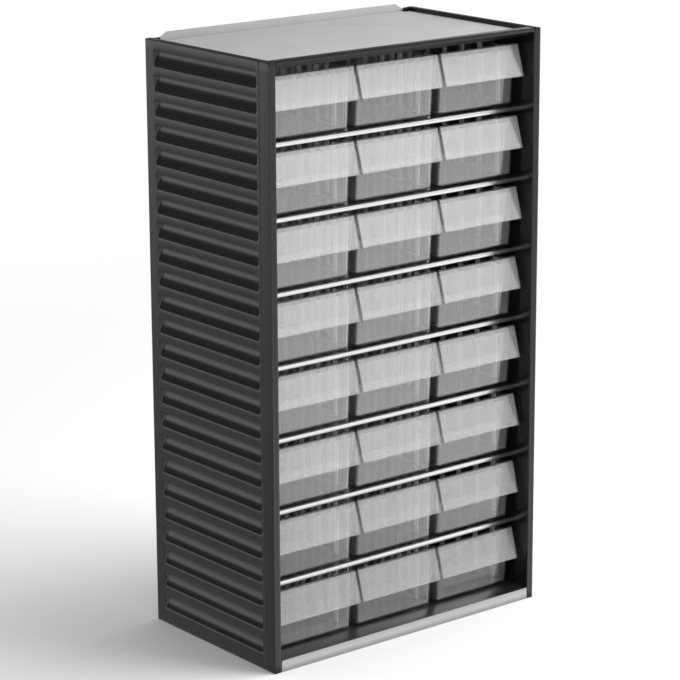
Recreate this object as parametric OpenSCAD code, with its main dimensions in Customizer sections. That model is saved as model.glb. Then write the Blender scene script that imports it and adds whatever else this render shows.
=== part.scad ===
// Small-parts cabinet with 24 clear drawers in three columns and eight rows.
// Two ribbed side mouldings carry sheet-steel shelves, a base plate, a top plate and a back panel.
// Millimetres. +Z is up, the drawers open along -Y, and the origin is on the floor
// below the middle of the cabinet.

/* [Cabinet] */
// Width over both side panels
cabinet_w = 310; // [296:1:330]
// Depth from the posts' front faces to the rear edges of the side panels
cabinet_d = 180; // [172:1:196]
// Height of one row, from shelf to shelf
row_pitch = 66; // [64:0.5:72]
// Height of the base plate's upper face above the floor
base_h = 11; // [9:0.5:14]
// Height of the side panels above the top row's ceiling
top_zone = 7; // [6.5:0.5:9]
// Thickness of each side panel
side_t = 7.5; // [7:0.5:9]
// Thickness of the sheet steel
sheet_t = 0.8; // [0.6:0.1:1]
// Height of the back panel's upstand above the side panels
upstand_h = 4; // [3:0.5:8]

/* [Side grooves] */
// Number of grooves on each side panel
groove_count = 24; // [12:1:26]
// Height of one groove
groove_h = 14; // [9:0.5:15]
// Depth of a groove under its upper edge
groove_depth = 3.6; // [2:0.2:3.6]
// Plain border in front of the grooves
front_border = 17.5; // [14:0.5:24]
// Plain border behind the grooves
rear_border = 12; // [10:0.5:24]

/* [Shelves] */
// How far the shelf lips stand behind the posts' front faces
lip_setback = 20; // [18:0.5:22]
// Height of a shelf's turned-down lip
lip_h = 4.4; // [3.6:0.2:5.2]
// Height of the pressed beads between the columns
bead_h = 3; // [2:0.5:5]

/* [Drawers] */
// Wall thickness of a drawer
drawer_wall = 1.6; // [1.2:0.1:2]
// Gap between the bodies of two drawers side by side
body_gap = 7; // [6.5:0.5:9]
// Gap between the hoods of two drawers side by side
hood_gap = 2.5; // [1.5:0.1:4]
// Backward lean of a drawer's front wall, top to bottom
front_lean = 4; // [0:0.5:5]
// Height of the sloping hood
hood_h = 29.4; // [26:0.2:31]
// How far the hood's lower edge stands in front of its upper edge
hood_slope = 8.6; // [7:0.2:10]
// Distance between two divider slots
slot_pitch = 24.5; // [20:0.5:27]
// Number of divider slots along a drawer
slot_count = 5; // [3:1:5]

/* [Hidden] */
rows = 8;
cols = 3;
eps = 0.05;

// Heights
side_h = base_h + rows * row_pitch + top_zone;
// The top plate lies a little below the side panels' upper edges
top_sink = 3.5;
top_z = side_h - top_sink;
function floor_z(row) = base_h + row_pitch * (rows - row);

// Plan
front_y = -cabinet_d / 2;
rear_y = cabinet_d / 2;
inner_x = cabinet_w / 2 - side_t;
// Room that the three columns leave beside the side panels, both sides together
column_room = 7;
col_pitch = (2 * inner_x - column_room) / cols;
function col_x(col) = col_pitch * (col - 2);

// Sheet parts: how deep their edges stand in the side panels, and with what play
tongue = 2.3;
slot_depth = 2.5;
play = 0.1;
edge_play = 0.3;

// Rear flange of the side panels, and the back panel screwed on it
head_h = 1.2;
panel_t = 1;
panel_y1 = rear_y - head_h;
panel_y0 = panel_y1 - panel_t;
flange_t = 3.2;
flange_w = 6;
flange_y0 = panel_y0 - flange_t;
shelf_rear_y = flange_y0 - 0.2;
flange_x = inner_x - flange_w;

// Screws in the back panel
screw_x = inner_x - 3;
screw_r = 1.45;
pilot_r = 1.5;
screw_hole_r = 1.7;
head_r = 2.8;
screw_count = 5;
screw_margin = 25;
function screw_z(i) = screw_margin + i * (side_h - 2 * screw_margin) / (screw_count - 1);

// Wall-fixing holes in the back panel, level with the gaps above the drawers' rims
fixing_r = 2.75;
fixing_dx = 240;
function fixing_z(row) = floor_z(row) + (rim_z + row_pitch - sheet_t) / 2;

// Top rail
rail_depth = 11;
rail_face_h = 3;
rail_h = 6.2;
rail_chamfer = 2.6;
rail_web_t = 1.8;
stop_rib_y = front_y + 36;
stop_rib_t = 2;
stop_overlap = 1.7;

// Shelf lip and beads
lip_y = front_y + lip_setback;
bead_w = 4;
bead_front = 10;
bead_rear = 14;
bead_y0 = lip_y + bead_front;
bead_y1 = shelf_rear_y - bead_rear;

// Drawer, measured from the floor of its row and the middle of its column
body_half = (col_pitch - body_gap) / 2;
hood_half = (col_pitch - hood_gap) / 2;
drawer_h = row_pitch - 8;
rim_z = drawer_h - 2;
runner_z = 0.3;
tray_z = 1.7;
runner_w = 2;
runner_x = 36;
runner_front = 14;
runner_rear = 6;
front_top_y = lip_y - 2.2;
drawer_rear_y = panel_y0 - 1.8;
step_y = front_top_y + 18.7;
step_in = 0.8;
hood_t = 1.8;
hood_top_y = front_top_y - 0.8;
hood_z = drawer_h - hood_h;
slot_y0 = front_top_y + 21;
slot_w = 1.8;
rib_t = 1.2;
rib_out = 2;
rib_top_drop = 2;
stop_tab_half = 9;
stop_tab_top = row_pitch - 1.9;
stop_rib_z = floor_z(1) + stop_tab_top - stop_overlap;

// Extrudes a section drawn in (Y, Z) along X, from -half to +half
module along_x(half) {
    rotate([90, 0, 90])
        translate([0, 0, -half])
            linear_extrude(2 * half)
                children();
}

// Extrudes a section drawn in (X, Z) along Y, from y0 to y1
module along_y(y0, y1) {
    translate([0, y1, 0])
        rotate([90, 0, 0])
            linear_extrude(y1 - y0)
                children();
}

// ---- Side panels ----

// Section of one groove: a step under the upper edge, then a cove that sweeps out to the face
groove_steps = 6;
groove_step_h = 0.3;
function groove_section() = [
    [-1, 0],
    [0, 0],
    for (i = [0:groove_steps])
        let (t = i / groove_steps)
            [groove_depth * (1 - t * t), -groove_step_h - (groove_h - groove_step_h) * t],
    [-1, -groove_h]
];

groove_margin_top = 9.5;
groove_margin_bottom = 15;
// Share of a pitch that the lowest groove lacks
groove_end_share = 0.4;
groove_pitch = (side_h - groove_margin_top - groove_margin_bottom) / (groove_count - groove_end_share);
function groove_top_z(i) = side_h - groove_margin_top - i * groove_pitch;

// Plan of a side panel: a post with chamfered corners in front, a return flange behind
post_chamfer = 1;
function panel_plan() = [
    [-cabinet_w / 2, front_y + post_chamfer],
    [-cabinet_w / 2 + post_chamfer, front_y],
    [-inner_x - post_chamfer, front_y],
    [-inner_x, front_y + post_chamfer],
    [-inner_x, flange_y0],
    [-flange_x, flange_y0],
    [-flange_x, panel_y0],
    [-inner_x, panel_y0],
    [-inner_x, rear_y],
    [-cabinet_w / 2, rear_y]
];

border_line_w = 1.2;
border_line_depth = 0.6;

module shelf_slot(z, y0) {
    translate([-inner_x - slot_depth, y0 - play, z - sheet_t - play])
        cube([slot_depth + 1, shelf_rear_y - y0 + 2 * play, sheet_t + 2 * play]);
}

module side_panel() {
    groove_y0 = front_y + front_border;
    groove_y1 = rear_y - rear_border;
    difference() {
        linear_extrude(side_h)
            polygon(panel_plan());
        for (i = [0:groove_count - 1])
            translate([-cabinet_w / 2, 0, groove_top_z(i)])
                along_y(groove_y0, groove_y1)
                    polygon(groove_section());
        // shallow line between the front border and the ribbed field
        translate([-cabinet_w / 2 - 1, groove_y0 - 4, -1])
            cube([border_line_depth + 1, border_line_w, side_h + 2]);
        for (row = [2:rows])
            shelf_slot(floor_z(row - 1), lip_y);
        shelf_slot(base_h, lip_y);
        shelf_slot(top_z, front_y + rail_depth);
        // the top rail's web stands in the front part of the top slot
        translate([-inner_x - slot_depth, front_y + rail_depth - play, top_z - sheet_t - rail_web_t - 2 * play])
            cube([slot_depth + 1, stop_rib_y - front_y - rail_depth + 2 * play, rail_web_t + 2 * play]);
        for (i = [0:screw_count - 1])
            translate([-screw_x, rear_y, screw_z(i)])
                rotate([90, 0, 0])
                    cylinder(h = head_h + panel_t + flange_t + 1, r = pilot_r, $fn = 32);
    }
}

module side_panel_left() {
    color("#2b2d2f")
        side_panel();
}

module side_panel_right() {
    color("#2b2d2f")
        mirror([1, 0, 0])
            side_panel();
}

// ---- Sheet-steel parts ----

// Flat sheet whose upper face is at z
module sheet(half, y0, y1, z) {
    translate([-half, y0, z - sheet_t])
        cube([2 * half, y1 - y0, sheet_t]);
}

// The top plate's middle part runs on between the rear flanges, to the back panel
top_middle_y0 = front_y + 30;

module top_plate() {
    color("#b4b8ba") {
        sheet(inner_x + tongue, front_y + rail_depth + play, shelf_rear_y, top_z);
        sheet(flange_x - edge_play, top_middle_y0, panel_y0 - play, top_z);
    }
}

// Turned-down strip at the front and rear edges of the base plate, with a return along the floor
base_return = 12;

module base_plate() {
    fit_half = inner_x - edge_play;
    color("#c4c7c8") {
        sheet(inner_x + tongue, lip_y, shelf_rear_y, base_h);
        sheet(fit_half, front_y, lip_y + 1, base_h);
        translate([-fit_half, front_y, 0])
            cube([2 * fit_half, sheet_t, base_h]);
        sheet(fit_half, front_y, front_y + base_return, sheet_t);
        translate([-fit_half, shelf_rear_y - sheet_t, 0])
            cube([2 * fit_half, sheet_t, base_h]);
        sheet(fit_half, shelf_rear_y - base_return, shelf_rear_y, sheet_t);
    }
}

// Low pressed bead that keeps two neighbouring drawers in their columns
module guide_bead(x, z) {
    translate([x, 0, z])
        along_y(bead_y0, bead_y1)
            polygon([
                [-bead_w / 2, -eps],
                [-bead_w / 4, bead_h],
                [bead_w / 4, bead_h],
                [bead_w / 2, -eps]
            ]);
}

module shelf(k) {
    z = floor_z(k);
    fit_half = inner_x - edge_play;
    color("#e8eaeb") {
        sheet(inner_x + tongue, lip_y, shelf_rear_y, z);
        translate([-fit_half, lip_y, z - lip_h])
            cube([2 * fit_half, sheet_t, lip_h]);
        for (side = [-1, 1])
            guide_bead(side * col_pitch / 2, z);
    }
}

upstand_half = inner_x - flange_w - edge_play;
upstand_slope_w = 9;

module back_panel() {
    fit_half = inner_x - edge_play;
    top = side_h + upstand_h;
    low = 1;
    color("#c0c4c6")
        difference() {
            along_y(panel_y0, panel_y1)
                polygon([
                    [-fit_half, low],
                    [fit_half, low],
                    [fit_half, side_h - 1],
                    [upstand_half, side_h - 1],
                    [upstand_half - upstand_slope_w, top],
                    [-upstand_half + upstand_slope_w, top],
                    [-upstand_half, side_h - 1],
                    [-fit_half, side_h - 1]
                ]);
            for (side = [-1, 1])
                for (i = [0:screw_count - 1])
                    back_bore(side * screw_x, screw_z(i), screw_hole_r);
            for (side = [-1, 1])
                for (row = [1, rows])
                    back_bore(side * fixing_dx / 2, fixing_z(row), fixing_r);
        }
}

module back_bore(x, z, r) {
    translate([x, rear_y, z])
        rotate([90, 0, 0])
            cylinder(h = head_h + panel_t + 1, r = r, $fn = 32);
}

module back_screws() {
    color("#8d9092")
        for (side = [-1, 1])
            for (i = [0:screw_count - 1])
                translate([side * screw_x, rear_y, screw_z(i)])
                    rotate([90, 0, 0])
                        back_screw();
}

// Pan-head screw with a cross recess, its head against the back panel
module back_screw() {
    recess_l = 3;
    recess_w = 0.7;
    recess_d = 0.7;
    difference() {
        union() {
            cylinder(h = head_h, r = head_r, $fn = 32);
            cylinder(h = head_h + panel_t + flange_t, r = screw_r, $fn = 32);
        }
        for (turn = [0, 90])
            rotate([0, 0, turn])
                translate([-recess_l / 2, -recess_w / 2, -1])
                    cube([recess_l, recess_w, 1 + recess_d]);
    }
}

// ---- Top rail ----

module top_rail() {
    web_z = top_z - sheet_t - play;
    color("#2b2d2f") {
        along_x(inner_x - play)
            polygon([
                [front_y, side_h - 0.6],
                [front_y + 0.6, side_h],
                [front_y + rail_depth, side_h],
                [front_y + rail_depth, web_z],
                [stop_rib_y, web_z],
                [stop_rib_y, stop_rib_z],
                [stop_rib_y - stop_rib_t, stop_rib_z],
                [stop_rib_y - stop_rib_t, web_z - rail_web_t],
                [front_y + rail_chamfer + rail_web_t, web_z - rail_web_t],
                [front_y + rail_chamfer, side_h - rail_h],
                [front_y, side_h - rail_face_h]
            ]);
        // tongues at both ends stand in the side panels
        along_x(inner_x + tongue)
            polygon([
                [front_y + rail_depth, web_z],
                [stop_rib_y - play, web_z],
                [stop_rib_y - play, web_z - rail_web_t],
                [front_y + rail_depth, web_z - rail_web_t]
            ]);
    }
}

// ---- Drawers ----

// Y of the front wall's outer face at height z
function front_face_y(z) = front_top_y + front_lean * (drawer_h - z) / drawer_h;

// Front wall's section between two heights
function front_section(z0, z1) = [
    [front_face_y(z0), z0],
    [front_face_y(z0) + drawer_wall, z0],
    [front_face_y(z1) + drawer_wall, z1],
    [front_face_y(z1), z1]
];

// Block with the drawer's leaning front, inset by skin on the front, rear and floor
module tray_block(half, skin, y1, z1) {
    z0 = tray_z + skin;
    along_x(half)
        polygon([
            [front_face_y(z0) + skin, z0],
            [y1, z0],
            [y1, z1],
            [front_face_y(z1) + skin, z1]
        ]);
}

module tray() {
    difference() {
        union() {
            tray_block(body_half - step_in, 0, drawer_rear_y, rim_z);
            tray_block(body_half, 0, step_y + drawer_wall, rim_z);
        }
        tray_block(body_half - step_in - drawer_wall, drawer_wall, drawer_rear_y - drawer_wall, rim_z + 1);
        tray_block(body_half - drawer_wall, drawer_wall, step_y, rim_z + 1);
    }
}

// Two thin ribs with the slot for a divider between them
module divider_slot(y, side) {
    face = body_half - step_in - drawer_wall;
    for (edge = [-1, 1])
        translate([
            side * (face - rib_out / 2 + eps) - rib_out / 2,
            y + edge * (slot_w + rib_t) / 2 - rib_t / 2,
            tray_z + drawer_wall - eps
        ])
            cube([rib_out, rib_t, rim_z - rib_top_drop - tray_z - drawer_wall]);
}

// Sloping full-width hood over the front: label plate, the front wall behind it and two cheeks
module hood() {
    low_y = hood_top_y - hood_slope;
    along_x(hood_half)
        polygon([
            [hood_top_y, drawer_h],
            [low_y, hood_z],
            [low_y + hood_t, hood_z],
            [hood_top_y + hood_t - 0.4, drawer_h - hood_t],
            [front_face_y(drawer_h - hood_t) + drawer_wall, drawer_h - hood_t],
            [front_top_y + drawer_wall, drawer_h]
        ]);
    along_x(hood_half)
        polygon(front_section(hood_z, drawer_h));
    for (side = [-1, 1])
        translate([side * (hood_half - drawer_wall / 2), 0, 0])
            along_x(drawer_wall / 2)
                polygon([
                    [hood_top_y, drawer_h],
                    [low_y, hood_z],
                    [front_face_y(hood_z) + 0.5, hood_z],
                    [front_top_y + 0.5, drawer_h]
                ]);
}

module drawer_solid() {
    tray();
    hood();
    for (side = [-1, 1]) {
        for (i = [0:slot_count - 1])
            divider_slot(slot_y0 + i * slot_pitch, side);
        translate([side * runner_x - runner_w / 2, front_top_y + runner_front, runner_z])
            cube([runner_w, drawer_rear_y - runner_rear - front_top_y - runner_front, tray_z - runner_z + eps]);
    }
    // tab that meets the lip of the shelf above when the drawer is pulled out
    translate([-stop_tab_half, drawer_rear_y - drawer_wall, rim_z - 4])
        cube([2 * stop_tab_half, drawer_wall, stop_tab_top - rim_z + 4]);
}

module drawer(row, col) {
    color("#c9ced1")
        translate([col_x(col), 0, floor_z(row)])
            drawer_solid();
}

side_panel_left();
side_panel_right();
top_plate();
top_rail();
base_plate();
back_panel();
back_screws();
for (k = [1:rows - 1])
    shelf(k);
for (row = [1:rows], col = [1:cols])
    drawer(row, col);
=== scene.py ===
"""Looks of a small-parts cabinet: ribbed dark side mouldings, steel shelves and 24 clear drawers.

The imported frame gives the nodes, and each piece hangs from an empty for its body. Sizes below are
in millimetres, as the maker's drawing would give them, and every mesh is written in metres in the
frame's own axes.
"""

import math

import bmesh
import bpy
from mathutils import Matrix, Vector

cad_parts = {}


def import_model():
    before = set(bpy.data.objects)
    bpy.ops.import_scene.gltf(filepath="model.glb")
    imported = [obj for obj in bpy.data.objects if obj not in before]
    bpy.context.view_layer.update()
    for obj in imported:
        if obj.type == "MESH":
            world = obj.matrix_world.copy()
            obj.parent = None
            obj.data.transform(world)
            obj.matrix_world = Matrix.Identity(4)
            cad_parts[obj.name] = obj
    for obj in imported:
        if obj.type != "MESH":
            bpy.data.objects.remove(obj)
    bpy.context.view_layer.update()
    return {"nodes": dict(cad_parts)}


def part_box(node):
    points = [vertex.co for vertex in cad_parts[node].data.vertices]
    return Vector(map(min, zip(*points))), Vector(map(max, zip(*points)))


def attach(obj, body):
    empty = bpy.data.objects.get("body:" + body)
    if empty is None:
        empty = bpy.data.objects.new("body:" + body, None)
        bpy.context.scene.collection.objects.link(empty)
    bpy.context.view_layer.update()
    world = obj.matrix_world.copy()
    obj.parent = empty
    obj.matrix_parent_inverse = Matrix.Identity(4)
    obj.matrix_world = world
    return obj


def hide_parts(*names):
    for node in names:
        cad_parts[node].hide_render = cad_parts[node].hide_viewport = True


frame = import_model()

MM = 0.001
WELD = 0.001  # points closer than this, in millimetres, are merged

# ---- Sizes read from the frame, in millimetres ----


def node_box(node):
    """Lowest and highest corner of a CAD node, in millimetres."""
    low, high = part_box(node)
    return Vector(low) / MM, Vector(high) / MM


panel_low, panel_high = node_box("side_panel_left")
shelf_low, shelf_high = node_box("shelf_1")
back_low, back_high = node_box("back_panel")
screws_low, screws_high = node_box("back_screws")
first_low, first_high = node_box("drawer_r1_c1")
beside_low, beside_high = node_box("drawer_r1_c2")

ROWS = 8
COLUMNS = 3
outer_x = -panel_low.x
tongue = 2.3
inner_x = -node_box("top_rail")[0].x - tongue
front_y = panel_low.y
rear_y = panel_high.y
side_h = panel_high.z
base_z = node_box("base_plate")[1].z
column_pitch = (beside_low.x + beside_high.x - first_low.x - first_high.x) / 2
row_pitch = first_low.z - node_box("drawer_r2_c1")[0].z
sheet_t = 0.8
bend_radius = 1.4
cut_edge_round = 0.15
lip_y = shelf_low.y
shelf_rear_y = shelf_high.y


def column_x(column):
    """Middle of a column, counted from 1 on the left."""
    return column_pitch * (column - 2)


def floor_z(row):
    """Upper face of the sheet that carries a row, counted from 1 at the top."""
    return base_z + row_pitch * (ROWS - row)


# ---- Mesh tools ----


def new_object(name, bm):
    """An object at the origin from a bmesh in millimetres, with its place in its mesh."""
    bmesh.ops.scale(bm, vec=(MM, MM, MM), verts=bm.verts)
    mesh = bpy.data.meshes.new(name)
    bm.to_mesh(mesh)
    bm.free()
    made = bpy.data.objects.new(name, mesh)
    bpy.context.scene.collection.objects.link(made)
    return made


def shade(obj, angle=35):
    """Smooth shading that keeps edges sharper than the angle crisp."""
    mesh = obj.data
    mesh.polygons.foreach_set("use_smooth", [True] * len(mesh.polygons))
    mesh.set_sharp_from_angle(angle=math.radians(angle))
    return obj


def applied(obj):
    """Turns the object's modifiers into plain mesh and removes them."""
    bpy.context.view_layer.update()
    graph = bpy.context.evaluated_depsgraph_get()
    mesh = bpy.data.meshes.new_from_object(obj.evaluated_get(graph), depsgraph=graph)
    obj.modifiers.clear()
    obj.data = mesh
    return obj


def planes_kept(obj):
    """Lets the large faces set the normals at their corners, so that they reflect as planes."""
    weighted = obj.modifiers.new("weighted_normals", "WEIGHTED_NORMAL")
    weighted.mode = "FACE_AREA"
    weighted.weight = 100
    weighted.keep_sharp = True
    return applied(obj)


def bevelled(obj, width, segments=2, angle=28):
    """Rounds every edge sharper than the angle, by a width in millimetres."""
    bevel = obj.modifiers.new("rounding", "BEVEL")
    bevel.width = width * MM
    bevel.segments = segments
    bevel.limit_method = "ANGLE"
    bevel.angle_limit = math.radians(angle)
    bevel.harden_normals = False
    return applied(obj)


def boolean(obj, other, operation):
    """Joins another closed mesh to obj, or cuts it away, and removes the other object."""
    cut = obj.modifiers.new("boolean", "BOOLEAN")
    cut.operation = operation
    cut.solver = "MANIFOLD"
    cut.object = other
    applied(obj)
    bpy.data.objects.remove(other)
    return obj


def prism(name, section, low_x, high_x):
    """Closed solid from a (y, z) section drawn anticlockwise seen from +X, between two x."""
    bm = bmesh.new()
    ends = [[bm.verts.new((x, y, z)) for y, z in section] for x in (low_x, high_x)]
    bm.faces.new(ends[1])
    bm.faces.new(list(reversed(ends[0])))
    for i in range(len(section)):
        j = (i + 1) % len(section)
        bm.faces.new((ends[0][i], ends[0][j], ends[1][j], ends[1][i]))
    bmesh.ops.recalc_face_normals(bm, faces=bm.faces)
    return new_object(name, bm)


def loft(bm, rings, closed_ends=True):
    """Quads between rings of points, which all have the same count, and flat faces at both ends."""
    loops = [[bm.verts.new(p) for p in ring] for ring in rings]
    count = len(rings[0])
    for low, high in zip(loops, loops[1:]):
        for i in range(count):
            j = (i + 1) % count
            bm.faces.new((low[i], low[j], high[j], high[i]))
    if closed_ends:
        bm.faces.new(list(reversed(loops[0])))
        bm.faces.new(loops[-1])
    return loops


def arc(centre, radius, start, end, steps):
    """Points on an arc, both ends included. Angles in degrees, anticlockwise."""
    turns = [math.radians(start + (end - start) * i / steps) for i in range(steps + 1)]
    return [(centre[0] + radius * math.cos(t), centre[1] + radius * math.sin(t)) for t in turns]


def folded(points, thickness, radius, steps=5):
    """Outline of a sheet bent along a line of points, which run along its outer face.

    The sheet's body lies to the left of the line. The radius is the outer face's at each bend.
    """
    line = [Vector(p) for p in points]
    outer, inner = [line[0]], []
    left = [Vector((-(b - a).y, (b - a).x)).normalized() for a, b in zip(line, line[1:])]
    inner.append(line[0] + left[0] * thickness)
    for before, corner, after, n0, n1 in zip(line, line[1:], line[2:], left, left[1:]):
        d0, d1 = (corner - before).normalized(), (after - corner).normalized()
        turn = d0.angle(d1)
        inside = d0.x * d1.y - d0.y * d1.x > 0
        r_out = radius if inside else max(radius - thickness, 0.2)
        reach = r_out * math.tan(turn / 2)
        side = 1 if inside else -1
        centre = corner - d0 * reach + n0 * r_out * side
        for i in range(steps + 1):
            n = n0.lerp(n1, i / steps).normalized()
            outer.append(centre - n * r_out * side)
            inner.append(centre - n * (r_out * side - thickness))
    outer.append(line[-1])
    inner.append(line[-1] + left[-1] * thickness)
    return [tuple(p) for p in outer + list(reversed(inner))]


# ---- Repeating pieces, with Geometry Nodes ----


def grid_tree():
    """Copies of a shape in a line of lines, merged where they touch, with one material.

    Each copy is turned about Y by a random angle up to the largest turn.
    """
    tree = bpy.data.node_groups.new("rows_of_copies", "GeometryNodeTree")
    panel = tree.interface
    sockets = (
        ("Shape", "NodeSocketGeometry", None),
        ("Count", "NodeSocketInt", 1),
        ("Step", "NodeSocketVector", None),
        ("Lines", "NodeSocketInt", 1),
        ("Line step", "NodeSocketVector", None),
        ("Largest turn", "NodeSocketFloat", 0.0),
        ("Merge distance", "NodeSocketFloat", 0.00001),
        ("Seed", "NodeSocketInt", 7),
        ("Material", "NodeSocketMaterial", None),
    )
    for name, kind, value in sockets:
        made = panel.new_socket(name, in_out="INPUT", socket_type=kind)
        if value is not None:
            made.default_value = value
    panel.new_socket("Shape", in_out="OUTPUT", socket_type="NodeSocketGeometry")

    def add(kind, **inputs):
        node = tree.nodes.new(kind)
        for key, value in inputs.items():
            socket = node.inputs[key.replace("_", " ")]
            if isinstance(value, bpy.types.NodeSocket):
                tree.links.new(value, socket)
            else:
                socket.default_value = value
        return node

    source = tree.nodes.new("NodeGroupInput").outputs
    line = add("GeometryNodeMeshLine", Count=source["Count"], Offset=source["Step"])
    lines = add("GeometryNodeMeshLine", Count=source["Lines"], Offset=source["Line step"])
    row = add(
        "GeometryNodeInstanceOnPoints",
        Points=lines.outputs["Mesh"],
        Instance=line.outputs["Mesh"],
    )
    places = add("GeometryNodeRealizeInstances", Geometry=row.outputs["Instances"])
    turn = tree.nodes.new("FunctionNodeRandomValue")
    turn.data_type = "FLOAT"
    tree.links.new(source["Largest turn"], turn.inputs[3])
    tree.links.new(source["Seed"], turn.inputs["Seed"])
    rotation = add("ShaderNodeCombineXYZ", Y=turn.outputs[1])
    copies = add(
        "GeometryNodeInstanceOnPoints",
        Points=places.outputs["Geometry"],
        Instance=source["Shape"],
        Rotation=rotation.outputs["Vector"],
    )
    solid = add("GeometryNodeRealizeInstances", Geometry=copies.outputs["Instances"])
    merged = add(
        "GeometryNodeMergeByDistance",
        Geometry=solid.outputs["Geometry"],
        Distance=source["Merge distance"],
    )
    painted = add(
        "GeometryNodeSetMaterial",
        Geometry=merged.outputs["Geometry"],
        Material=source["Material"],
    )
    tree.links.new(painted.outputs["Geometry"], tree.nodes.new("NodeGroupOutput").inputs["Shape"])
    return tree


COPIES = grid_tree()
NO_STEP = (0, 0, 0)


def repeated(obj, material, count=1, step=NO_STEP, lines=1, line_step=NO_STEP, turn=0.0, seed=7):
    """Repeats a shape, which is drawn at its first place. Steps are in millimetres."""
    modifier = obj.modifiers.new("copies", "NODES")
    modifier.node_group = COPIES
    values = {
        "Count": count,
        "Step": [s * MM for s in step],
        "Lines": lines,
        "Line step": [s * MM for s in line_step],
        "Largest turn": turn,
        "Seed": seed,
        "Material": material,
    }
    for item in COPIES.interface.items_tree:
        if item.in_out == "INPUT" and item.name in values:
            modifier[item.identifier] = values[item.name]
    return applied(obj)


# ---- Materials ----


class Number:
    """A shader socket that adds Math nodes when it is used in an expression."""

    def __init__(self, tree, socket):
        self.tree = tree
        self.socket = socket

    def math(self, operation, first, second):
        node = self.tree.nodes.new("ShaderNodeMath")
        node.operation = operation
        connect(self.tree, node.inputs[0], first)
        connect(self.tree, node.inputs[1], second)
        return Number(self.tree, node.outputs[0])

    def __add__(self, other):
        return self.math("ADD", self, other)

    __radd__ = __add__

    def __sub__(self, other):
        return self.math("SUBTRACT", self, other)

    def __rsub__(self, other):
        return self.math("SUBTRACT", other, self)

    def __mul__(self, other):
        return self.math("MULTIPLY", self, other)

    __rmul__ = __mul__


def connect(tree, socket, value):
    """Links a socket to another, or sets its value."""
    if isinstance(value, Number):
        tree.links.new(value.socket, socket)
    else:
        socket.default_value = value


def grey(level, tint=(1, 1, 1)):
    """A grey of a linear level, slightly tinted where a tint is given."""
    return (level * tint[0], level * tint[1], level * tint[2], 1)


class Shading:
    """The node tree of a material or a world, built one node at a time."""

    def __init__(self, owner, end, place):
        owner.use_nodes = True
        self.tree = owner.node_tree
        self.tree.nodes.clear()
        self.end = self.tree.nodes.new(end).inputs["Surface"]
        self.place = self.node("ShaderNodeTexCoord", output=place)

    def node(self, kind, settings=None, inputs=None, output=0):
        """Adds a node. Settings come first, then the values or links of its sockets."""
        made = self.tree.nodes.new(kind)
        for key, value in (settings or {}).items():
            setattr(made, key, value)
        for key, value in (inputs or {}).items():
            connect(self.tree, made.inputs[key], value)
        return Number(self.tree, made.outputs[output])

    def finish(self, shader):
        """Ends the tree in a shader."""
        self.tree.links.new(shader.socket, self.end)

    def noise(self, scale, detail=2.0, roughness=0.5, stretch=(1, 1, 1)):
        """Noise of a scale in features per metre, between 0 and 1."""
        place = self.node("ShaderNodeMapping", inputs={"Vector": self.place, "Scale": stretch})
        inputs = {"Vector": place, "Scale": scale, "Detail": detail, "Roughness": roughness}
        return self.node("ShaderNodeTexNoise", inputs=inputs)

    def mix(self, factor, first, second):
        """A colour between two colours."""
        inputs = {0: factor, 6: first, 7: second}
        return self.node("ShaderNodeMix", {"data_type": "RGBA"}, inputs, 2)

    def mixed_shader(self, factor, first, second):
        """The first shader at factor 0, the second at factor 1."""
        return self.node("ShaderNodeMixShader", inputs={0: factor, 1: first, 2: second})

    def band(self, value, low, high):
        """0 below low, 1 above high, and smooth between."""
        inputs = {"Value": value, "From Min": low, "From Max": high}
        return self.node("ShaderNodeMapRange", {"interpolation_type": "SMOOTHSTEP"}, inputs)

    def ramp(self, value, low, high):
        """0 below low, 1 above high, and straight between."""
        inputs = {"Value": value, "From Min": low, "From Max": high}
        return self.node("ShaderNodeMapRange", inputs=inputs)

    def bump(self, height, distance, strength=1.0):
        """A bump from a height between 0 and 1, whose full depth is a distance in metres."""
        inputs = {"Height": height, "Distance": distance, "Strength": strength}
        return self.node("ShaderNodeBump", inputs=inputs)

    def toward(self, direction):
        """How far a place lies in a direction."""
        settings = {"operation": "DOT_PRODUCT"}
        inputs = {0: self.place, 1: direction}
        return self.node("ShaderNodeVectorMath", settings, inputs, "Value")

    def emission(self, level):
        return self.node("ShaderNodeEmission", inputs={"Color": grey(1.0), "Strength": level})

    def principled(self, **inputs):
        """A Principled shader. Socket names are written with underscores."""
        named = {key.replace("_", " "): value for key, value in inputs.items()}
        return self.node("ShaderNodeBsdfPrincipled", inputs=named)


class Finish(Shading):
    """A material whose patterns lie in the object's own coordinates."""

    def __init__(self, name):
        self.material = bpy.data.materials.new(name)
        super().__init__(self.material, "ShaderNodeOutputMaterial", "Object")

    def done(self, shader):
        """Ends the tree in a shader and gives the material."""
        self.finish(shader)
        return self.material


def panel_plastic():
    """Charcoal moulded plastic with a fine grain and faint flow clouds."""
    f = Finish("charcoal_moulded_plastic")
    grain = f.noise(2600, detail=2, roughness=0.6)
    clouds = f.band(f.noise(14, detail=3), 0.3, 0.7)
    flow = f.noise(9, detail=2, stretch=(1, 1, 0.25))
    darker = grey(0.005, (0.95, 1, 1.04))
    lighter = grey(0.007, (0.95, 1, 1.03))
    return f.done(f.principled(
        Base_Color=f.mix(clouds, darker, lighter),
        Roughness=0.13 + 0.06 * flow + 0.04 * grain,
        IOR=1.6,
        Normal=f.bump(grain, 0.00003, 0.3),
    ))


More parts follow.
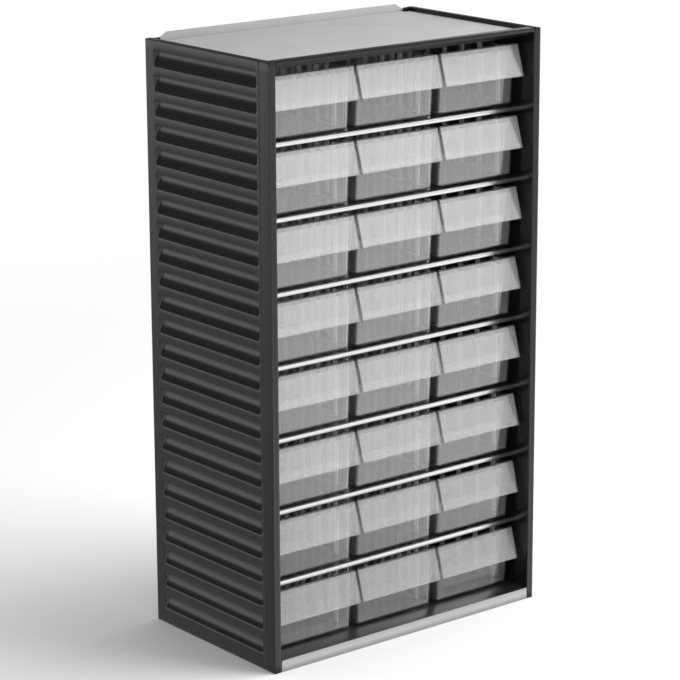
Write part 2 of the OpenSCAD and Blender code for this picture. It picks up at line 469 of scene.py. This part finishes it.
def painted_sheet(name, level, tint=(0.98, 1, 1.01)):
    """Powder-coated sheet: orange peel, a little mottling and fine dark specks."""
    f = Finish(name)
    peel = f.noise(900, detail=2)
    mottle = f.noise(24, detail=4, roughness=0.6)
    specks = f.band(f.noise(1500, detail=1), 0.70, 0.76)
    colour = f.mix(f.band(mottle, 0.25, 0.75), grey(level * 0.94, tint), grey(level * 1.05, tint))
    return f.done(f.principled(
        Base_Color=f.mix(specks * 0.35, colour, grey(level * 0.6, tint)),
        Roughness=0.42 + 0.14 * mottle,
        IOR=1.5,
        Normal=f.bump(peel, 0.00005, 0.5),
    ))


def zinc_sheet(name, level, metallic, roughness):
    """Zinc-plated sheet with fine rolling lines along X and faint spangle."""
    f = Finish(name)
    lines = f.noise(900, detail=3, stretch=(0.012, 1, 1))
    cells = f.node("ShaderNodeTexVoronoi", inputs={"Vector": f.place, "Scale": 220}, output="Color")
    spangle = f.node("ShaderNodeSeparateColor", inputs={"Color": cells})
    darker = grey(level * 0.96, (0.98, 1, 1.02))
    lighter = grey(level, (0.99, 1, 1.01))
    return f.done(f.principled(
        Base_Color=f.mix(spangle, darker, lighter),
        Metallic=metallic,
        Roughness=roughness + 0.16 * lines + 0.04 * spangle,
        Normal=f.bump(lines, 0.00001, 0.25),
    ))


def screw_zinc():
    """Zinc-plated screw heads with fine turning marks."""
    f = Finish("zinc_plated_screw")
    marks = f.noise(4000, detail=2)
    return f.done(f.principled(
        Base_Color=f.mix(marks, grey(0.42), grey(0.62, (1, 1, 0.97))),
        Metallic=1.0,
        Roughness=0.28 + 0.2 * marks,
        Normal=f.bump(marks, 0.00002, 0.3),
    ))


def drawer_plastic():
    """Clear polystyrene with faint upright flow lines, frosted as far as its faces are marked.

    A share of the lamps' light goes straight through, or the drawers would stay dark inside.
    """
    f = Finish("clear_drawer_plastic")
    lines = f.noise(120, detail=2, roughness=0.6, stretch=(1, 0.02, 0.02))
    streaks = f.band(lines, 0.3, 0.75)
    polish = f.noise(160, detail=3)
    frost = f.node("ShaderNodeAttribute", {"attribute_name": "frost"}, output="Fac")
    clear = f.principled(
        Base_Color=f.mix(lines, grey(0.94, (0.985, 1, 1.005)), grey(0.99, (0.99, 1, 1))),
        Roughness=0.03 + 0.01 * polish,
        IOR=1.57,
        Transmission_Weight=0.985,
        Coat_Weight=1.0,
        Coat_IOR=1.5,
    )
    frosted = f.principled(Base_Color=grey(0.92), Roughness=0.35 + 0.1 * polish, IOR=1.57)
    solid = f.mixed_shader(frost * (0.92 + 0.16 * streaks), clear, frosted)
    passed_light = 0.6
    shadow = f.node("ShaderNodeLightPath", output="Is Shadow Ray")
    empty = f.node("ShaderNodeBsdfTransparent")
    return f.done(f.mixed_shader(passed_light * shadow, solid, empty))


PANEL = panel_plastic()
TOP = painted_sheet("light_grey_powder_coat", 0.44)
BACK = painted_sheet("back_panel_powder_coat", 0.35)
SHELF = zinc_sheet("zinc_shelf_sheet", 0.92, 1.0, 0.12)
BASE = zinc_sheet("zinc_base_sheet", 0.62, 1.0, 0.22)
SCREW = screw_zinc()
CLEAR = drawer_plastic()


def finished(obj, material, slot, body, *nodes):
    """Paints a piece, puts it on its body and lets it stand for its CAD nodes."""
    obj.data.materials.clear()
    obj.data.materials.append(material)
    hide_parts(*nodes)
    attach(obj, body)
    return obj


# ---- Side panels ----

GROOVES = 24
groove_margin_top = 9.5
groove_margin_bottom = 15.0
groove_end_share = 0.4
groove_pitch = (side_h - groove_margin_top - groove_margin_bottom) / (GROOVES - groove_end_share)
first_groove_z = side_h - groove_margin_top
groove_height = 14.0
groove_depth = 3.6
groove_inner_round = 0.6
groove_edge_round = 1.6
groove_front_run = 1.3
groove_rear_run = 3.5
support = 0.3  # between a curve's end and the next point, so that flats shade flat
groove_front_y = front_y + 17.5
groove_rear_y = rear_y - 12
land_round = 0.7
border_line_y = groove_front_y - 4
border_line_w = 1.2
border_line_depth = 0.6
border_line_slope = 0.35
post_round = 1.3
post_line_half = 0.72
post_line_floor_half = 0.288
post_line_depth = 0.35
rear_edge = 0.8
rear_round = 0.25
flange_x = inner_x - 6
flange_y = back_low.y - 3.2
flange_chamfer = 0.5
pocket_y = back_low.y
panel_top_round = 0.6
panel_foot_round = 0.4


def groove_profile():
    """(distance below the groove's upper edge, depth) for one pitch, from the land down.

    Under the land the wall steps in, and from there it sweeps out to the next land in a cove.
    """
    points = [(-land_round, 0.0)]
    for turn in (30, 60, 90):
        t = math.radians(turn)
        points.append((land_round * (math.sin(t) - 1), land_round * (1 - math.cos(t))))
    for below, share in ((0.1, 1.0), (0.3, 0.25)):
        points.append((below, groove_depth - groove_inner_round * share))
    cove_steps = 12
    for i in range(1, cove_steps + 1):
        t = i / cove_steps
        h = groove_inner_round + (groove_height - groove_edge_round - groove_inner_round) * t
        points.append((h, groove_depth * (1 - (h / groove_height) ** 2)))
    for past_edge, share in ((-0.35, 0.09), (0.25, 0.02), (0.9, 0.0)):
        points.append((groove_height + groove_edge_round * past_edge, groove_depth * share))
    return points


def outer_face_points():
    """(y, share of the groove's depth, extra depth) along the outer face, front to rear."""
    points = [(front_y + post_round, 0, 0)]
    shifts = (-border_line_slope, 0, border_line_w, border_line_w + border_line_slope)
    for shift, depth in zip(shifts, (0, 1, 1, 0)):
        points.append((border_line_y + shift, 0, border_line_depth * depth))
    front_steps, rear_steps, front_power = 4, 6, 1.3
    for i in range(front_steps + 1):
        t = i / front_steps
        share = math.sin(math.pi / 2 * t) ** front_power
        points.append((groove_front_y + groove_front_run * t, share, 0))
    points.append((groove_front_y + groove_front_run + support, 1, 0))
    points.append((groove_rear_y - groove_rear_run - support, 1, 0))
    for i in range(rear_steps + 1):
        t = i / rear_steps
        share = (1 + math.cos(math.pi * t)) / 2
        points.append((groove_rear_y - groove_rear_run + groove_rear_run * t, share, 0))
    points.append((groove_rear_y + support, 0, 0))
    points.append((rear_y - rear_edge - support, 0, 0))
    points.append((rear_y - rear_edge, 0, 0))
    return points


def panel_outline():
    """Plan of the left panel as (x, y, groove share, extra depth), anticlockwise from above."""
    left, right = -outer_x, -inner_x
    loop = []
    for y, share, extra in reversed(outer_face_points()):
        loop.append((left, y, share, extra))
    corner = arc((left + post_round, front_y + post_round), post_round, 180, 270, 4)
    loop += [(x, y, 0, 0) for x, y in corner[1:]]
    post_middle = (left + right) / 2
    shifts = (-post_line_half, -post_line_floor_half, post_line_floor_half, post_line_half)
    for shift, depth in zip(shifts, (0, 1, 1, 0)):
        loop.append((post_middle + shift, front_y + post_line_depth * depth, 0, 0))
    corner = arc((right - post_round, front_y + post_round), post_round, 270, 360, 4)
    loop += [(x, y, 0, 0) for x, y in corner]
    loop += [(x, y, 0, 0) for x, y in (
        (right, flange_y),
        (-flange_x - flange_chamfer, flange_y),
        (-flange_x, flange_y + flange_chamfer),
        (-flange_x, pocket_y),
        (right, pocket_y),
        (right, rear_y - flange_chamfer),
        (right - flange_chamfer, rear_y),
        (left + rear_edge, rear_y),
        (left + rear_round, rear_y - rear_round),
    )]
    return loop


def panel_ring(outline, z, depth=0.0, inset=0.0):
    """One level of the panel. Inset pulls the whole outline in, for the rounded ends."""
    flat = [(x + share * depth + extra, y) for x, y, share, extra in outline]
    count = len(flat)
    ring = []
    for i, (x, y) in enumerate(flat):
        if inset:
            before, after = Vector(flat[i - 1]), Vector(flat[(i + 1) % count])
            along = (after - before).normalized()
            x, y = x - along.y * inset, y + along.x * inset
        ring.append((x, y, z))
    return ring


def panel_cell(outline):
    """The stretch of one groove and the land under it, open above and below."""
    bm = bmesh.new()
    levels = groove_profile()
    levels.append((groove_pitch - land_round, 0.0))
    levels.reverse()
    rings = [panel_ring(outline, first_groove_z - below, depth) for below, depth in levels]
    loft(bm, rings, closed_ends=False)
    return new_object("panel_cell", bm)


def panel_end(bm, outline, z_inside, z_end, rounding):
    """Closes the panel above or below its grooves with a slightly rounded end."""
    way = 1 if z_end > z_inside else -1
    rings = [panel_ring(outline, z_inside), panel_ring(outline, z_end - way * rounding)]
    for turn in (30, 60, 90):
        t = math.radians(turn)
        z = z_end - way * rounding * (1 - math.sin(t))
        rings.append(panel_ring(outline, z, 0, rounding * (1 - math.cos(t))))
    if way < 0:
        rings.reverse()
    loops = loft(bm, rings, closed_ends=False)
    bm.faces.new(loops[-1] if way > 0 else list(reversed(loops[0])))


def side_panel(name, side):
    """A ribbed side moulding, the left one at side -1 and its mirror image at side 1."""
    outline = panel_outline()
    cell = repeated(panel_cell(outline), PANEL, count=GROOVES, step=(0, 0, -groove_pitch))
    bm = bmesh.new()
    bm.from_mesh(cell.data)
    bmesh.ops.scale(bm, vec=(1 / MM,) * 3, verts=bm.verts)
    bpy.data.objects.remove(cell)
    grooves_top = first_groove_z + land_round
    grooves_bottom = first_groove_z + land_round - GROOVES * groove_pitch
    panel_end(bm, outline, grooves_top, side_h, panel_top_round)
    panel_end(bm, outline, grooves_bottom, 0.0, panel_foot_round)
    bmesh.ops.remove_doubles(bm, verts=bm.verts, dist=2 * WELD)
    if side > 0:
        bmesh.ops.scale(bm, vec=(-1, 1, 1), verts=bm.verts)
    bmesh.ops.recalc_face_normals(bm, faces=bm.faces)
    panel = shade(new_object(name, bm), 32)
    node = "side_panel_left" if side < 0 else "side_panel_right"
    return finished(panel, PANEL, "panel_plastic", "cabinet", node)


side_panel("ribbed_side_left", -1)
side_panel("ribbed_side_right", 1)


# ---- Sheet-metal parts and the rail ----


def rounded_copy(name, node, width, segments=2):
    """A copy of a CAD node whose edges are rounded, by a width in millimetres."""
    bm = bmesh.new()
    bm.from_mesh(frame["nodes"][node].data)
    bmesh.ops.scale(bm, vec=(1 / MM,) * 3, verts=bm.verts)
    bmesh.ops.remove_doubles(bm, verts=bm.verts, dist=WELD)
    edges = [e for e in bm.edges if e.is_manifold]
    bmesh.ops.dissolve_limit(bm, angle_limit=math.radians(1), verts=bm.verts, edges=edges)
    return shade(bevelled(new_object(name, bm), width, segments))


def bead(x, z):
    """Pressed guide bead between two columns, on a shelf whose upper face is at z."""
    sunk, height, width, ramp, edge_round = 0.3, 3.0, 4.0, 4.0, 0.9
    front, rear = lip_y + 10, shelf_rear_y - 14
    section = [
        (front, -sunk),
        (rear, -sunk),
        (rear, height / 2),
        (rear - ramp, height),
        (front + ramp, height),
        (front, height / 2),
    ]
    made = prism("bead", [(y, z + h) for y, h in section], x - width / 2, x + width / 2)
    return bevelled(made, edge_round, 3)


def shelf(k):
    """The folded sheet under row k, with a guide bead between each two columns."""
    z = floor_z(k)
    lip_bottom = shelf_low.z - floor_z(1) + z
    reach = inner_x + tongue
    line = [(shelf_rear_y, z), (lip_y, z), (lip_y, lip_bottom)]
    outline = folded(line, sheet_t, bend_radius)
    sheet = prism("folded_shelf_%d" % k, outline, -reach, reach)
    made = bevelled(sheet, cut_edge_round, 2, 50)
    for side in (-1, 1):
        boolean(made, bead(side * column_pitch / 2, z), "UNION")
    shade(made)
    return finished(made, SHELF, "shelf_steel", "cabinet", "shelf_%d" % k)


for k in range(1, ROWS):
    shelf(k)

for name, node, rounding, segments, material, slot in (
    ("sunk_top_sheet", "top_plate", 0.2, 2, TOP, "top_steel"),
    ("front_top_rail", "top_rail", 0.45, 3, PANEL, "panel_plastic"),
    ("base_sheet", "base_plate", 0.25, 2, BASE, "base_steel"),
    ("rear_sheet", "back_panel", 0.2, 2, BACK, "back_steel"),
):
    finished(rounded_copy(name, node, rounding, segments), material, slot, "cabinet", node)


# ---- Screws in the rear sheet ----

SCREWS_HIGH = 5
head_r = 2.8
head_h = rear_y - back_high.y
head_flank = 0.35
head_crown = 0.75
head_draft = 0.25
head_flat_r = 0.9
shank_r = 1.45
shank_depth = 4.2
recess_half_l = 1.5
recess_half_w = 0.38
recess_depth = 0.75
screw_x = screws_high.x - head_r
screw_first_z = screws_low.z + head_r
screw_step = (screws_high.z - head_r - screw_first_z) / (SCREWS_HIGH - 1)


def screw_head():
    """Pan head with a cross recess, axis along +Y, at the origin."""
    bm = bmesh.new()
    sides = 32
    profile = [(shank_r, -shank_depth), (shank_r, 0.0)]
    profile += [(head_r, 0.0), (head_r, head_h * head_flank)]
    for t in (math.radians(a) for a in (30, 60, 90)):
        r = head_r - head_crown * (1 - math.cos(t)) - head_draft * math.sin(t)
        profile.append((r, head_h * (head_flank + (1 - head_flank) * math.sin(t))))
    profile.append((head_flat_r, head_h))
    circle = [2 * math.pi * i / sides for i in range(sides)]
    loft(bm, [[(r * math.cos(t), y, r * math.sin(t)) for t in circle] for r, y in profile])
    bmesh.ops.recalc_face_normals(bm, faces=bm.faces)
    made = new_object("screw", bm)
    for turn in (0, 90):
        c, s = round(math.cos(math.radians(turn))), round(math.sin(math.radians(turn)))
        cut = bmesh.new()
        bmesh.ops.create_cube(cut, size=2)
        for v in cut.verts:
            x, z = v.co.x * recess_half_l, v.co.z * recess_half_w
            v.co = (x * c - z * s, head_h + v.co.y * recess_depth, x * s + z * c)
        bmesh.ops.recalc_face_normals(cut, faces=cut.faces)
        boolean(made, new_object("cross", cut), "DIFFERENCE")
    return bevelled(made, 0.06, 1, 40)


def back_screws():
    """Two rows of screws up the rear sheet's sides, each turned its own way."""
    made = repeated(
        screw_head(),
        SCREW,
        count=SCREWS_HIGH,
        step=(0, 0, screw_step),
        lines=2,
        line_step=(2 * screw_x, 0, 0),
        turn=math.pi / 2,
        seed=11,
    )
    made.name = "pan_head_screws"
    made.data.transform(Matrix.Translation(Vector((-screw_x, back_high.y, screw_first_z)) * MM))
    shade(made, 30)
    return finished(made, SCREW, "screw_steel", "cabinet", "back_screws")


back_screws()


# ---- Drawers ----

wall = 1.6
lean = 4.0
drawer_h = 58.0
rim_z = 56.0
tray_z = 1.7
body_gap = 7.0
body_half = (column_pitch - body_gap) / 2
step_in = 0.8
step_run = 1.8
front_top_y = lip_y - 2.2
drawer_rear_y = first_high.y
step_y = front_top_y + 18.7
tray_corner = 3.2
tray_floor_round = 2.2
tray_inner_round = 1.2
rim_round = 0.45
rim_chamfer = 0.13
least_corner = 0.4
overlap = 0.3
hood_half = (first_high.x - first_low.x) / 2
hood_low_y = first_low.y
hood_bottom_z = drawer_h - 29.4
hood_top_y = front_top_y - 0.8
hood_t = 1.8
hood_roof_t = 4.5
SLOTS = 5
slot_pitch = 24.5
slot_y = front_top_y + 21
slot_w = 1.8
rib_t = 1.2
rib_out = 2.0
rib_root = 0.4
rib_below_rim = 2.0
runner_x = 36
runner_half_w = 1.0
runner_z = 0.3
runner_front_y = front_top_y + 14
runner_rear_y = drawer_rear_y - 6
tab_half_w = 9
tab_low_z = rim_z - 4
tab_high_z = row_pitch - 1.9
hood_edge_round = 1.3
hood_inside_round = 0.5
rib_round = 0.3
runner_round = 0.4
tab_round = 0.5

# How far a face is frosted, from 0 for clear to 1.
RIB_FROST = 1.0
HOOD_FROST = 0.2
FRONT_FROST = 0.09


def front_face_y(z):
    """Outer face of the front wall, which leans forward towards the top of the drawer."""
    return front_top_y + lean * (drawer_h - z) / drawer_h


def tray_ring(z, inset, corner):
    """Plan of the tray at one height, with rounded corners and the step in its sides."""
    wide = body_half - inset
    slim = wide - step_in
    front = front_face_y(z) + inset
    rear = drawer_rear_y - inset
    points = arc((wide - corner, front + corner), corner, 270, 360, 6)
    points += [
        (wide, step_y - 0.8),
        (wide - step_in * 0.15, step_y),
        (slim + step_in * 0.15, step_y + 1.0),
        (slim, step_y + step_run),
    ]
    points += arc((slim - corner, rear - corner), corner, 0, 90, 6)
    mirrored = [(-x, y) for x, y in reversed(points)]
    return [(x, y, z) for x, y in points + mirrored]


def tray():
    """Open box with rounded corners, a filleted floor and a slightly rounded rim."""
    rings = []
    for turn in (0, 25, 50, 70, 90):
        t = math.radians(turn)
        inset = tray_floor_round * (1 - math.sin(t))
        z = tray_z + tray_floor_round * (1 - math.cos(t))
        rings.append(tray_ring(z, inset, tray_corner - inset * 0.6))
    rings.append(tray_ring(rim_z - rim_round, 0, tray_corner))
    for inset, drop in (
        (rim_chamfer, rim_chamfer),
        (rim_round, 0),
        (wall - rim_round, 0),
        (wall - rim_chamfer, rim_chamfer),
        (wall, rim_round),
    ):
        rings.append(tray_ring(rim_z - drop, inset, tray_corner - inset * 0.8))
    for turn in (90, 60, 30, 0):
        t = math.radians(turn)
        inset = wall + tray_inner_round * (1 - math.sin(t))
        z = tray_z + wall + tray_inner_round * (1 - math.cos(t))
        rings.append(tray_ring(z, inset, max(tray_corner - inset * 0.8, least_corner)))
    bm = bmesh.new()
    loft(bm, rings)
    bmesh.ops.recalc_face_normals(bm, faces=bm.faces)
    return new_object("tray", bm)


def hood():
    """Sloping label plate over the front, with its top, its two cheeks and the flange behind."""
    block = prism("hood", [
        (hood_low_y, hood_bottom_z),
        (front_face_y(hood_bottom_z) + wall - overlap, hood_bottom_z),
        (front_face_y(drawer_h) + wall - overlap, drawer_h),
        (hood_top_y, drawer_h),
    ], -hood_half, hood_half)
    bevelled(block, hood_edge_round, 4)
    roof = drawer_h - hood_roof_t
    slope = (hood_top_y - hood_low_y) / (drawer_h - hood_bottom_z)
    inside_y = hood_low_y + hood_t
    below = 5  # the cavity is cut from below the hood upwards
    cavity = prism("hood_inside", [
        (inside_y - slope * below, hood_bottom_z - below),
        (front_face_y(hood_bottom_z - below), hood_bottom_z - below),
        (front_face_y(roof), roof),
        (inside_y + slope * (roof - hood_bottom_z), roof),
    ], wall - hood_half, hood_half - wall)
    bevelled(cavity, hood_inside_round, 2)
    return boolean(block, cavity, "DIFFERENCE")


def box_piece(name, low, high, rounding):
    """A block between two corners, with rounded edges."""
    section = [(low[1], low[2]), (high[1], low[2]), (high[1], high[2]), (low[1], high[2])]
    return bevelled(prism(name, section, low[0], high[0]), rounding, 2)


def divider_ribs():
    """The thin ribs of all slots on both side walls, in one mesh."""
    face = body_half - step_in - wall
    low = (-face - rib_root, slot_y - slot_w / 2 - rib_t, tray_z + wall - overlap)
    high = (-face + rib_out, slot_y - slot_w / 2, rim_z - rib_below_rim)
    rib = box_piece("divider_rib", low, high, rib_round)
    pair = repeated(rib, CLEAR, count=2, step=(0, slot_w + rib_t, 0))
    line = repeated(pair, CLEAR, count=SLOTS, step=(0, slot_pitch, 0))
    return repeated(line, CLEAR, lines=2, line_step=(2 * face - rib_out + rib_root, 0, 0))


def drawer_shape():
    """One clear drawer at the middle of the row floor, as one closed mesh."""
    made = boolean(tray(), hood(), "UNION")
    boolean(made, divider_ribs(), "UNION")
    for side in (-1, 1):
        runner = box_piece(
            "runner",
            (side * runner_x - runner_half_w, runner_front_y, runner_z),
            (side * runner_x + runner_half_w, runner_rear_y, tray_z + runner_round),
            runner_round,
        )
        boolean(made, runner, "UNION")
    tab = box_piece(
        "stop_tab",
        (-tab_half_w, drawer_rear_y - wall, tab_low_z),
        (tab_half_w, drawer_rear_y, tab_high_z),
        tab_round,
    )
    boolean(made, tab, "UNION")
    mark_frost(made)
    return planes_kept(shade(made, 30))


def mark_frost(made):
    """Marks the ribs, whose mould is not polished, and the finely textured faces of the front."""
    face = body_half - step_in - wall
    near = 0.3
    faces_along_y = 0.6
    values = []
    for polygon in made.data.polygons:
        x, y, z = polygon.center / MM
        beside_wall = face - rib_out - 0.1 < abs(x) < face - 0.02
        in_rib_row = beside_wall and y > slot_y - slot_w - rib_t
        on_hood = z > hood_bottom_z and y < hood_top_y - near
        on_inner_front = abs(y - front_face_y(z) - wall) < near
        if in_rib_row and z > tray_z + wall + near:
            values.append(RIB_FROST)
        elif on_hood and polygon.normal.y < -faces_along_y:
            values.append(HOOD_FROST)
        elif on_inner_front and polygon.normal.y > faces_along_y:
            values.append(FRONT_FROST)
        else:
            values.append(0.0)
    layer = made.data.attributes.new("frost", "FLOAT", "FACE")
    layer.data.foreach_set("value", values)


def drawers():
    """A copy of the drawer's shape at each of its places, each on a body of its own."""
    shape = drawer_shape()
    for row in range(1, ROWS + 1):
        for column in range(1, COLUMNS + 1):
            name = "drawer_r%d_c%d" % (row, column)
            mesh = shape.data.copy()
            place = Vector((column_x(column), 0, floor_z(row)))
            mesh.transform(Matrix.Translation(place * MM))
            made = bpy.data.objects.new("clear_" + name, mesh)
            bpy.context.scene.collection.objects.link(made)
            finished(made, CLEAR, "drawer_plastic", name, name)
    bpy.data.objects.remove(shape)


drawers()


# ---- Floor, light and camera ----

# The way from the object to the panel that reflections see.
LIGHT_WAY = (0.64, -0.77, 0)


def floor():
    """A pale floor that catches the shadow, and turns into even white away from the object.

    Reflections pass it, because the world holds the floor that they see.
    """
    bm = bmesh.new()
    bmesh.ops.create_grid(bm, x_segments=1, y_segments=1, size=20000)
    bmesh.ops.translate(bm, verts=bm.verts, vec=(0, 0, -0.2))
    made = new_object("floor", bm)
    f = Finish("pale_floor")
    distance = f.node("ShaderNodeVectorMath", {"operation": "LENGTH"}, {0: f.place}, "Value")
    mirrored = f.band(f.node("ShaderNodeLightPath", output="Glossy Depth"), 0.0, 1.0)
    paint = f.node("ShaderNodeBsdfDiffuse", inputs={"Color": grey(0.93)})
    paint_end, white_start = 0.5, 1.6
    seen = f.mixed_shader(f.band(distance, paint_end, white_start), paint, f.emission(1.0))
    empty = f.node("ShaderNodeBsdfTransparent")
    made.data.materials.append(f.done(f.mixed_shader(mirrored, seen, empty)))


def world():
    """White all round. Reflections see a floor, a dim room above it and a glowing panel.

    A height is the sine of the angle above the horizon.
    """
    made = bpy.data.worlds.new("studio")
    bpy.context.scene.world = made
    w = Shading(made, "ShaderNodeOutputWorld", "Generated")
    height = w.toward((0, 0, 1))
    toward_light = w.toward(LIGHT_WAY)
    lit = w.band(toward_light, -0.2, 0.5)
    shaded_floor = 0.36 + 0.9 * w.band(height, -0.33, 0.0)
    lit_floor = 0.8 + 0.42 * w.band(height, -0.24, -0.31) - 0.75 * w.band(height, -0.39, -0.46)
    mirrored_floor = shaded_floor + (lit_floor - shaded_floor) * lit
    above_floor = w.band(height, 0.0, 0.06)
    room = mirrored_floor * (1.0 - 0.9 * above_floor)
    panel = w.band(toward_light, 0.5, 0.8) * above_floor * (1.0 - w.band(height, 0.34, 0.5))
    glow = 0.32 + 1.35 * w.ramp(height, 0.10, 0.29)
    mirrored = room + panel * glow
    diffuse = w.node("ShaderNodeLightPath", output="Is Diffuse Ray")
    glossy = w.band(w.node("ShaderNodeLightPath", output="Glossy Depth"), 0.0, 1.0)
    held_back = 0.45
    level = 1.0 - held_back * diffuse + glossy * (mirrored - 1.0)
    w.finish(w.node("ShaderNodeBackground", inputs={"Color": grey(1.0), "Strength": level}))


def softbox(name, place, target, size, power):
    """An area lamp turned to its target, which mirrors and clear plastic don't show."""
    light = bpy.data.lights.new(name, "AREA")
    light.shape = "RECTANGLE"
    light.size, light.size_y = size
    light.energy = power
    made = bpy.data.objects.new(name, light)
    bpy.context.scene.collection.objects.link(made)
    made.location = place
    made.rotation_euler = (Vector(target) - Vector(place)).to_track_quat("-Z", "Y").to_euler()
    made.visible_glossy = False
    made.visible_transmission = False


def camera():
    """The view from the front left, a little above the top, with no shift."""
    place = (-1.526, -1.886, 0.913)
    azimuth, elevation, roll = (math.radians(a) for a in (-38.842, 15.027, -0.243))
    focal_pixels, image_pixels = 2729.0, 680.0
    data = bpy.data.cameras.new("camera")
    made = bpy.data.objects.new("camera", data)
    bpy.context.scene.collection.objects.link(made)
    data.sensor_width = 36
    data.lens = data.sensor_width * focal_pixels / image_pixels
    data.clip_end = 100
    look = Vector((
        -math.sin(azimuth) * math.cos(elevation),
        math.cos(azimuth) * math.cos(elevation),
        -math.sin(elevation),
    ))
    right = Vector((math.cos(azimuth), math.sin(azimuth), 0))
    up = right.cross(look)
    level = math.cos(roll) * right + math.sin(roll) * up
    upright = -math.sin(roll) * right + math.cos(roll) * up
    turn = Matrix((level, upright, -look)).transposed().to_4x4()
    made.matrix_world = Matrix.Translation(place) @ turn
    bpy.context.scene.camera = made


floor()
world()
camera()
lights_aim = Vector((0, 0, 0.3))
softbox("front_softbox", (2.2, -1.94, 1.5), lights_aim, (3.0, 2.2), 80)
softbox("top_softbox", (0.9, -0.6, 2.3), lights_aim, (1.6, 1.6), 30)

scene = bpy.context.scene
scene.view_settings.view_transform = "Standard"
scene.cycles.max_bounces = 24
scene.cycles.transmission_bounces = 24
scene.cycles.transparent_max_bounces = 16
